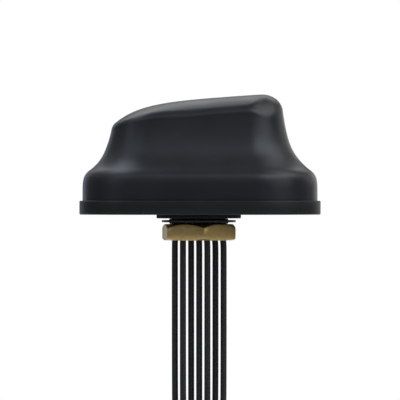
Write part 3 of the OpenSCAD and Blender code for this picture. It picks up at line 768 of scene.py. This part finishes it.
def base_body():
    """The plate with its rim: up the outside, over the rim, down on to the ledge and in to the floor."""
    top = BASE_BOTTOM + FLANGE_HEIGHT
    steps = [(1.1, BASE_BOTTOM), (0.5, BASE_BOTTOM + 0.12), (0.16, BASE_BOTTOM + 0.42),
             (0, BASE_BOTTOM + 0.9), (0, top - 0.9), (0.14, top - 0.42), (0.42, top - 0.12), (0.9, top),
             (RIM_INSET - 0.4, top), (RIM_INSET - 0.1, top - 0.1), (RIM_INSET, top - 0.4),
             (RIM_INSET, LEDGE_TOP), (LEDGE_INSET - 0.3, LEDGE_TOP), (LEDGE_INSET, LEDGE_TOP - 0.3),
             (LEDGE_INSET, FLOOR_TOP)]
    dirs = outline(24, 12, 2)
    return moved(loft([base_ring(dirs, inset, z) for inset, z in steps]), IN_HOUSING)


def build_base():
    base = piece("roof_base", *base_body())
    carve(base, cylinder((0, 0), PAD_RADIUS, FLOOR_TOP - 1, PAD_TOP, 96), how="UNION")
    bores = [cylinder((0, 0), STUD_RADIUS + 0.2, BASE_BOTTOM - 1, PAD_TOP + 1, 96),
             cylinder((0, 0), GASKET_RADIUS + 0.1, BASE_BOTTOM - 1, BASE_BOTTOM + 1, 96)]
    for x, y in COVER_SCREWS:
        spot = (x + HOUSING_X, y)
        bores += [cylinder(spot, SCREW_CLEARANCE, BASE_BOTTOM - 1, LEDGE_TOP + 1, 24),
                  cylinder(spot, COUNTERBORE_RADIUS, BASE_BOTTOM - 1, BASE_BOTTOM + COUNTERBORE_DEPTH, 32)]
    bores += [cylinder(spot, SCREW_RADIUS, STUD_SCREW_END, PAD_TOP + 1, 24) for spot in STUD_SCREWS]
    carve(base, *bores)
    posts = piece("posts", *join([
        tube((x + HOUSING_X, y), STANDOFF_RADIUS, SCREW_RADIUS, FLOOR_TOP - 0.5, BOARD_HEIGHT)
        for x, y in BOARD_SCREWS]))
    return merged(base, posts)


base = finish(build_base(), "base_plastic")
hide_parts("base_plate")

# ------------------------------------------------------------------ roof mounting

GASKET_BORE = STUD_RADIUS + 1.5
GASKET_LIP = 30
THREAD_PITCH = 1.5
THREAD_DEPTH = 0.5
STUD_BORE = STUD_RADIUS - 1.3
STUD_END = -12.6
STUD_FLANGE = 34
STUD_FLANGE_TOP = PAD_TOP + 3
WASHER_RADIUS = 29.65
WASHER_RING = 24.1
TOOTH_COUNT = 22
TOOTH_TIP = STUD_RADIUS + 0.3
TOOTH_ROOT = 0.4
TOOTH_WIDTH = 5.2
TOOTH_THICKNESS = 1.2
TOOTH_TWIST = 48
NUT_TOP = -4.6
NUT_HEIGHT = 12.9
NUT_FLATS = 55
NUT_TURN = 37.65
NUT_CHAMFER_TOP = 34
NUT_CHAMFER_BOTTOM = 19
NUT_BORE = STUD_RADIUS + 0.1

gasket = piece("foam_gasket", *lathe(rounded(
    [(GASKET_RADIUS - 0.25, 0), (GASKET_RADIUS, 0.8), (GASKET_RADIUS + 0.05, 1.6), (GASKET_RADIUS, 2.5),
     (GASKET_RADIUS - 0.2, 3.1), (GASKET_RADIUS - 0.2, BASE_BOTTOM + 1), (GASKET_BORE, BASE_BOTTOM + 1),
     (GASKET_BORE, 0.3), (GASKET_LIP, 0.3), (GASKET_LIP, 0)], 0.3, 3), 160), crease=40)
finish(gasket, "gasket_foam")
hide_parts("mounting_gasket")


def stud_body():
    """An inside flange, a hollow core of the thread's root diameter, and the thread's ridge."""
    root = STUD_RADIUS - THREAD_DEPTH
    profile = [
        (STUD_BORE, STUD_FLANGE_TOP), (STUD_FLANGE, STUD_FLANGE_TOP), (STUD_FLANGE, PAD_TOP),
        (STUD_RADIUS, PAD_TOP), (STUD_RADIUS, -0.9), (root, -1.5), (root, STUD_END + 0.4),
        (root - 0.3, STUD_END), (STUD_BORE + 0.2, STUD_END), (STUD_BORE, STUD_END + 0.2)]
    core = lathe(rounded(profile, 0.12, 2), 128)
    ridge = helix(root - 0.05, STUD_RADIUS, THREAD_PITCH, STUD_END, -0.7, 96)
    return join([core, ridge])


stud = piece("stud_casting", *stud_body())
carve(stud, *(cylinder(spot, SCREW_CLEARANCE, PAD_TOP - 1, STUD_FLANGE_TOP + 1, 24)
              for spot in STUD_SCREWS))
finish(stud, "stud_black")
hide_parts("threaded_stud")


def tooth(k, steps=8):
    """A tooth of the lock washer, twisted about its own length from the ring to its tip."""
    rings = []
    bevel = 0.14
    u, v = TOOTH_WIDTH / 2, TOOTH_THICKNESS / 2
    corners = [(-u + bevel, -v), (u - bevel, -v), (u, -v + bevel), (u, v - bevel),
               (u - bevel, v), (-u + bevel, v), (-u, v - bevel), (-u, -v + bevel)]
    around = Matrix.Rotation(TAU * k / TOOTH_COUNT, 4, "Z")
    for step in range(steps + 1):
        t = step / steps
        twist = Matrix.Rotation(math.radians(TOOTH_TWIST) * smooth(t) ** 1.5, 4, "X")
        out = Matrix.Translation((mix(WASHER_RING + TOOTH_ROOT, TOOTH_TIP, t), 0, WASHER_MIDDLE))
        rings.append([tuple(around @ out @ twist @ Vector((0, y, z))) for y, z in corners])
    return loft(rings)


WASHER_BOTTOM = WASHER_TOP - WASHER_THICKNESS
washer_ring = lathe(rounded(
    [(WASHER_RADIUS, WASHER_BOTTOM), (WASHER_RADIUS, WASHER_TOP), (WASHER_RING, WASHER_TOP),
     (WASHER_RING, WASHER_BOTTOM)], 0.22, 2), 132)
washer = piece("toothed_washer", *join([washer_ring] + [tooth(k) for k in range(TOOTH_COUNT)]))
finish(washer, "washer_black", "washer")
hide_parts("lock_washer")


def build_nut():
    """A hexagon cut by two cones, bored and threaded."""
    corner = NUT_FLATS / 2 / math.cos(math.radians(30))
    far = corner + 1
    low, high = NUT_TOP - NUT_HEIGHT, NUT_TOP
    low_face, high_face = NUT_FLATS / 2 - 0.2, NUT_FLATS / 2 - 0.4
    rise = (far - high_face) * math.tan(math.radians(NUT_CHAMFER_TOP))
    foot = (far - low_face) * math.tan(math.radians(NUT_CHAMFER_BOTTOM))
    nut = piece("brass_nut", *prism(corner, low, high, 6, NUT_TURN))
    bevelled(nut, 0.2)
    cones = [(low_face, low), (far, low + foot), (far, high - rise), (high_face, high)]
    carve(nut, loft([circle((0, 0), r, z, 144) for r, z in cones]), how="INTERSECT")
    major = NUT_BORE + THREAD_DEPTH
    bore = lathe([(AXIS, low - 1), (major + 1.7, low - 1), (major, low + 0.7), (major, high - 0.7),
                  (major + 1.7, high + 1), (AXIS, high + 1)], 128)
    carve(nut, bore)
    bevelled(nut, 0.12)
    thread = piece("thread", *helix(major + 0.05, NUT_BORE, THREAD_PITCH, low + 0.2, high - 0.2, 96))
    return merged(nut, thread)


nut = finish(build_nut(), "nut_brass", "nut")
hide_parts("hex_nut")

GROMMET_TOP = 10.4
grommet = piece("lead_grommet", *lathe(rounded(
    [(AXIS, GROMMET_MOUTH), (STUD_BORE - 0.05, GROMMET_MOUTH), (STUD_BORE - 0.05, GROMMET_TOP),
     (AXIS, GROMMET_TOP)], 0.6, 3), 96))
carve(grommet, *(
    cylinder(drop_point(i, 0, 0, 0)[:2], LEAD_DIAMETER / 2 + 0.08, GROMMET_MOUTH - 1, GROMMET_TOP + 1, 32)
    for i in range(LEAD_COUNT)))
bevelled(grommet, 0.2)
finish(grommet, "grommet_rubber")
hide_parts("cable_grommet")

# ------------------------------------------------------------------ cable ties

BUNDLE_RADIUS = 7.8
TIE_GAP = 0.4
TIE_WALL = 1.2
TIE_WIDTH = 9
TIE_ANGLES = (150, 225, 300)
BUNDLE_TIE_BOTTOM = -214
BUNDLE_TIE_HEIGHT = 4.8


def band(straight, radius, wall, width, steps=24):
    """A flat strap round a bundle: a stadium in the XY plane, width along Z, with softened edges."""
    section = rounded([(0, -width / 2), (wall, -width / 2), (wall, width / 2), (0, width / 2)], 0.35, 2)
    rings = []
    for q, side in enumerate((1, -1)):
        for k in range(steps + 1):
            a = math.pi * (q + k / steps)
            rings.append([(r * math.cos(a), side * straight + r * math.sin(a), z)
                          for r, z in ((radius + out, z) for out, z in section)])
    return [p for ring in rings for p in ring], strip(len(rings), len(section), closed_rows=True)


def tie_head(width):
    """The box of a tie that its tail runs through, with the tail's cut end."""
    half, end = width / 2, width * 0.35
    inner = BUNDLE_RADIUS + TIE_GAP
    outer = inner + TIE_WALL
    block = box((inner + 0.3, -half - 1, -half - 1), (outer + 3.2, end, half + 1))
    tail = box((outer + 0.5, end - 0.5, -half), (outer + 1.7, end + 3, half))
    return [block, tail]


def build_ties():
    parts = []
    for degrees in TIE_ANGLES:
        a = math.radians(degrees)
        place = Matrix.Translation((0, 0, COIL_Z)) @ Matrix.Rotation(a - math.pi / 2, 4, "Y")
        place = place @ Matrix.Translation((COIL_RADIUS, 0, 0))
        parts.append(moved(band(COIL_HALF_WIDTH, BUNDLE_RADIUS + TIE_GAP, TIE_WALL, TIE_WIDTH), place))
        parts += [moved(part, place) for part in tie_head(TIE_WIDTH - 2)]
    middle = BUNDLE_TIE_BOTTOM + BUNDLE_TIE_HEIGHT / 2
    place = Matrix.Translation((0, -COIL_HALF_WIDTH, middle)) @ Matrix.Rotation(-math.pi / 2, 4, "Z")
    parts.append(moved(band(0, BUNDLE_RADIUS + TIE_GAP, TIE_WALL, BUNDLE_TIE_HEIGHT), place))
    parts += [moved(part, place) for part in tie_head(BUNDLE_TIE_HEIGHT - 1)]
    return bevelled(piece("nylon_ties", *join(parts)), 0.3)


ties = finish(build_ties(), "tie_nylon")
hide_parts("coil_ties")

# ------------------------------------------------------------------ sleeves and plugs

SLEEVE_LENGTH = 12
SLEEVE_WALL = 0.7
PLUG_CRIMP = 3.3
PLUG_CRIMP_LENGTH = 9
CRIMP_TOP = 0.34                 # Start and end of the pressed part, measured down from the mouth
CRIMP_FOOT = PLUG_CRIMP_LENGTH - 2.1
CRIMP_CORE = 2.7
CRIMP_CORNER = 0.985 * PLUG_CRIMP
CRIMP_FLAT = 0.9 * PLUG_CRIMP
PLUG_REAR = 3
PLUG_NECK = 2.5
PLUG_STOP = 2.9
PLUG_SHELL = 2.3
PLUG_SHELL_WALL = 0.3
PLUG_PIN = 0.46
PLUG_FLATS = 8
PLUG_NUT_LENGTH = 8.4
PLUG_NUT_BORE = 3.2
PLUG_THREAD_PITCH = 0.7
REAR_Z = -PLUG_CRIMP_LENGTH - 4
STOP_Z = REAR_Z - 3.2
SHELL_Z = STOP_Z - 0.8
FACE_Z = SHELL_Z - 3.4
PIN_REACH = 1.2
NUT_Z = REAR_Z - 0.25


def plug_place(i):
    return tail_point(i, *TAIL_STATIONS[-1])


def sleeve(i):
    """Heat-shrink over the jacket's end and the crimp's mouth, drawn in a little at its upper end."""
    inner = LEAD_DIAMETER / 2 + 0.08
    outer = inner + SLEEVE_WALL
    profile = [(inner, 0), (outer, 0), (outer + 0.05, 2.2), (outer, 4), (outer - 0.1, 8),
               (outer - 0.12, SLEEVE_LENGTH - 0.6), (outer - 0.4, SLEEVE_LENGTH), (inner, SLEEVE_LENGTH)]
    return lathe(rounded(profile, 0.2, 2), 32, plug_place(i))


sleeves = piece("shrink_sleeves", *join([sleeve(i) for i in range(LEAD_COUNT)]), crease=50)
finish(sleeves, "sleeve_black")
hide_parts("plug_sleeves")


def crimp_ring(depth, pressed, steps=48):
    """The crimp's outline: round, or pressed to a hexagon whose corners stay round."""
    ring = []
    for s in range(steps):
        a = TAU * s / steps
        from_flat = (a + math.pi / 6) % (math.pi / 3) - math.pi / 6
        r = min(CRIMP_CORNER, CRIMP_FLAT / math.cos(from_flat)) if pressed else CRIMP_CORNER
        ring.append((r * math.cos(a), r * math.sin(a), -depth))
    return ring


def plug_body(i):
    """An SMA plug's body: hexagon crimp on the lead, smooth rear, neck, stop and shell."""
    inner = PLUG_SHELL - PLUG_SHELL_WALL
    crimp = loft([crimp_ring(depth, pressed) for depth, pressed in (
        (CRIMP_TOP, False), (CRIMP_TOP + 0.46, True), (CRIMP_FOOT - 0.5, True), (CRIMP_FOOT, False))])
    core = lathe(rounded([
        (AXIS, -0.01), (PLUG_CRIMP, -0.01), (PLUG_CRIMP, -CRIMP_TOP), (CRIMP_CORE, -CRIMP_TOP - 0.16),
        (CRIMP_CORE, 0.2 - CRIMP_FOOT), (PLUG_CRIMP, -CRIMP_FOOT), (PLUG_CRIMP, -PLUG_CRIMP_LENGTH),
        (PLUG_REAR, -PLUG_CRIMP_LENGTH), (PLUG_REAR, REAR_Z), (PLUG_NECK, REAR_Z), (PLUG_NECK, STOP_Z),
        (PLUG_STOP, STOP_Z), (PLUG_STOP, SHELL_Z), (PLUG_SHELL, SHELL_Z), (PLUG_SHELL, FACE_Z),
        (inner, FACE_Z), (inner, STOP_Z), (AXIS, STOP_Z)], 0.12, 2), 48, plug_place(i))
    return join([core, moved(crimp, Matrix.Translation(plug_place(i)))])


def build_plug_nut(i):
    """A coupling nut: hexagon with turned-down ends, a groove near its mouth and a thread inside."""
    low, high = NUT_Z - PLUG_NUT_LENGTH, NUT_Z
    half = PLUG_FLATS / 2
    corner = half / math.cos(math.radians(30))
    at = plug_place(i)
    obj = piece(f"coupling_nut_{i + 1}", *prism(corner, at[2] + low, at[2] + high, 6, 0, at[:2]))
    turned = lathe([
        (AXIS, low), (half - 0.15, low), (corner, low + 0.55), (corner, low + 1.3),
        (half - 0.2, low + 1.5), (half - 0.2, low + 2.0), (corner, low + 2.2),
        (corner, high - 0.6), (half - 0.15, high), (AXIS, high)], 60, at)
    carve(obj, turned, how="INTERSECT")
    mouth = lathe([
        (AXIS, low - 1), (PLUG_NUT_BORE + 0.3, low - 1), (PLUG_NUT_BORE, low + 0.4),
        (PLUG_NUT_BORE, STOP_Z + 0.25), (AXIS, STOP_Z + 0.25)], 48, at)
    carve(obj, mouth, cylinder(at[:2], PLUG_NECK + 0.2, at[2] + low, at[2] + high + 1, 48))
    thread = piece("thread", *helix(
        PLUG_NUT_BORE + 0.05, PLUG_NUT_BORE - 0.2, PLUG_THREAD_PITCH, low + 0.4, STOP_Z - 1.2, 36, at))
    return merged(obj, thread)


for i in range(LEAD_COUNT):
    plug = finish(piece(f"sma_plug_{i + 1}", *plug_body(i)), "plug_gold")
    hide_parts(f"plug_body_{i + 1}")
    coupling = finish(build_plug_nut(i), "plug_gold", f"plug_nut_{i + 1}_body")
    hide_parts(f"plug_nut_{i + 1}")


def at_each_plug(profile, radius, steps):
    """A small turned body, its corners rounded, at every plug."""
    return join([lathe(rounded(profile, radius, 2), steps, plug_place(i)) for i in range(LEAD_COUNT)])


PTFE_INNER = PLUG_PIN + 0.02
PTFE_OUTER = PLUG_SHELL - PLUG_SHELL_WALL - 0.02
PTFE_TOP = STOP_Z - 0.02
insulators = piece("ptfe_faces", *at_each_plug(
    [(PTFE_INNER, FACE_Z), (PTFE_OUTER, FACE_Z), (PTFE_OUTER, PTFE_TOP), (PTFE_INNER, PTFE_TOP)], 0.06, 32))
finish(insulators, "ptfe")
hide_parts("plug_insulators")

PIN_TIP = FACE_Z - PIN_REACH
PIN_TOP = STOP_Z - 0.03
pins = piece("centre_pins", *at_each_plug(
    [(AXIS, PIN_TIP), (PLUG_PIN * 0.55, PIN_TIP), (PLUG_PIN, PIN_TIP + 0.5), (PLUG_PIN, PIN_TOP),
     (AXIS, PIN_TOP)], 0.08, 24))
finish(pins, "plug_gold")
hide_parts("plug_pins")

# ------------------------------------------------------------------ lights, floor and world

FLOOR_GAP = 0.02
FLOOR_HALF = 1.5
FLOOR_FADE = (0.55, 1.45)        # Radii where the fade into the backdrop starts and ends
FLOOR_COLOR = (0.86, 0.86, 0.85)
LIGHT_TARGET = Vector((0, 0, 0.04))
LIGHT_DISTANCE = 2.0
COOL = (0.87, 0.97, 1.12)
COLD = (0.82, 0.96, 1.25)
NEUTRAL = (1, 1, 1)

# Azimuth from the camera's side round to the right, elevation, width, height, radiance, colour.
# The radiances and the world's levels are rounded from a program's least-squares fit of test
# renders to the photo, not chosen by hand.
SOFTBOXES = {
    "front_right_box": (45, 40, 1.8, 0.85, 2.3, COOL),
    "right_box": (90, 50, 0.85, 1.6, 1.35, NEUTRAL),
    "right_low_box": (52, 14, 1.3, 0.8, 0.85, NEUTRAL),
    "back_box": (180, 40, 2.2, 0.85, 1.2, NEUTRAL),
    "back_right_low_box": (150, -2, 0.8, 1.5, 0.95, NEUTRAL),
    "back_left_low_box": (210, 0, 0.8, 1.5, 0.52, COLD),
    "right_rear_low_box": (120, 14, 0.8, 0.8, 0.6, NEUTRAL),
    "left_top_box": (248, 64, 1.4, 0.85, 2.25, COOL),
    "left_front_box": (315, 40, 1.8, 0.85, 0.62, COLD),
    "left_low_box": (300, 14, 0.8, 0.8, 0.5, COOL),
}
WORLD_LEVELS = ((0.0, 0.2), (0.5, 0.1), (0.62, 0.16), (0.8, 0.4), (0.95, 0.28), (1.0, 0.2))


def softbox(name, azimuth, elevation, width, height, radiance, color):
    """An area light of a given radiance that faces the housing and stays out of the camera's view."""
    data = bpy.data.lights.new(name, "AREA")
    data.shape = "RECTANGLE"
    data.size, data.size_y = width, height
    data.energy = radiance * math.pi * width * height
    data.color = color
    light = bpy.data.objects.new(name, data)
    a, e = math.radians(azimuth), math.radians(elevation)
    away = Vector((math.sin(a) * math.cos(e), -math.cos(a) * math.cos(e), math.sin(e)))
    light.location = LIGHT_TARGET + away * LIGHT_DISTANCE
    light.rotation_euler = away.to_track_quat("Z", "Y").to_euler()
    light.visible_camera = False
    bpy.context.scene.collection.objects.link(light)


for name, values in SOFTBOXES.items():
    softbox(name, *values)


def build_world():
    """White to the camera; to the object a dim room, lighter overhead than at its walls and floor."""
    world = bpy.data.worlds.new("studio")
    bpy.context.scene.world = world
    world.use_nodes = True
    nodes, links = world.node_tree.nodes, world.node_tree.links
    nodes.clear()
    out = nodes.new("ShaderNodeOutputWorld")
    coords = nodes.new("ShaderNodeTexCoord")
    split = nodes.new("ShaderNodeSeparateXYZ")
    links.new(coords.outputs["Generated"], split.inputs["Vector"])
    up = nodes.new("ShaderNodeMapRange")
    up.inputs["From Min"].default_value = -1
    links.new(split.outputs["Z"], up.inputs["Value"])
    level = nodes.new("ShaderNodeValToRGB")
    ramp = level.color_ramp
    ramp.interpolation = "EASE"
    for place, value in WORLD_LEVELS[1:-1]:
        ramp.elements.new(place).color = (value, value, value, 1)
    for end in (0, -1):
        value = WORLD_LEVELS[end][1]
        ramp.elements[end].color = (value, value, value, 1)
    links.new(up.outputs["Result"], level.inputs["Fac"])
    seen = nodes.new("ShaderNodeBackground")
    seen.inputs["Color"].default_value = (1, 1, 1, 1)
    lit = nodes.new("ShaderNodeBackground")
    links.new(level.outputs["Color"], lit.inputs["Color"])
    ray = nodes.new("ShaderNodeLightPath")
    mixer = nodes.new("ShaderNodeMixShader")
    links.new(ray.outputs["Is Camera Ray"], mixer.inputs["Fac"])
    links.new(lit.outputs["Background"], mixer.inputs[1])
    links.new(seen.outputs["Background"], mixer.inputs[2])
    links.new(mixer.outputs["Shader"], out.inputs["Surface"])


build_world()
bpy.context.scene.view_settings.view_transform = "Standard"


def floor_paper():
    """Pale paper that runs out, for the camera only, into the white backdrop towards the floor's edge."""
    paper = Finish("floor_paper", FLOOR_COLOR, 0.8, specular=0.2)
    paper.bump(paper.noise(1.5, 2), 0.05)
    radius = paper.nodes.new("ShaderNodeVectorMath")
    radius.operation = "LENGTH"
    paper.link(paper.coords.outputs["Object"], radius.inputs[0])
    fade = paper.nodes.new("ShaderNodeMapRange")
    fade.interpolation_type = "SMOOTHSTEP"
    fade.inputs["From Min"].default_value = FLOOR_FADE[0]
    fade.inputs["From Max"].default_value = FLOOR_FADE[1]
    paper.link(radius.outputs["Value"], fade.inputs["Value"])
    ray = paper.nodes.new("ShaderNodeLightPath")
    seen = paper.nodes.new("ShaderNodeMath")
    seen.operation = "MULTIPLY"
    paper.link(fade.outputs["Result"], seen.inputs[0])
    paper.link(ray.outputs["Is Camera Ray"], seen.inputs[1])
    white = paper.nodes.new("ShaderNodeEmission")
    mixer = paper.nodes.new("ShaderNodeMixShader")
    paper.link(seen.outputs["Value"], mixer.inputs["Fac"])
    paper.link(paper.shader.outputs["BSDF"], mixer.inputs[1])
    paper.link(white.outputs["Emission"], mixer.inputs[2])
    paper.link(mixer.outputs["Shader"], paper.nodes["Material Output"].inputs["Surface"])
    return paper.material


floor_corners = [(x * FLOOR_HALF, y * FLOOR_HALF, 0) for x, y in ((-1, -1), (1, -1), (1, 1), (-1, 1))]
floor = piece("floor", floor_corners, [(0, 1, 2, 3)], unit=1)
floor.location.z = CAD_BOX[0][2] - FLOOR_GAP
floor.data.materials.append(floor_paper())

# ------------------------------------------------------------------ CAD nodes that stay

SLOT_OF = {part["node"]: part["material_slot"] for part in frame["record"]["subparts"]}
for name, obj in NODES.items():
    obj.data.materials.clear()
    obj.data.materials.append(MATERIALS[SLOT_OF[name]])

for i, lead in enumerate(LEADS):
    x, y, _z = (c * MM for c in drop_point(i, *DROP_STATIONS[0]))
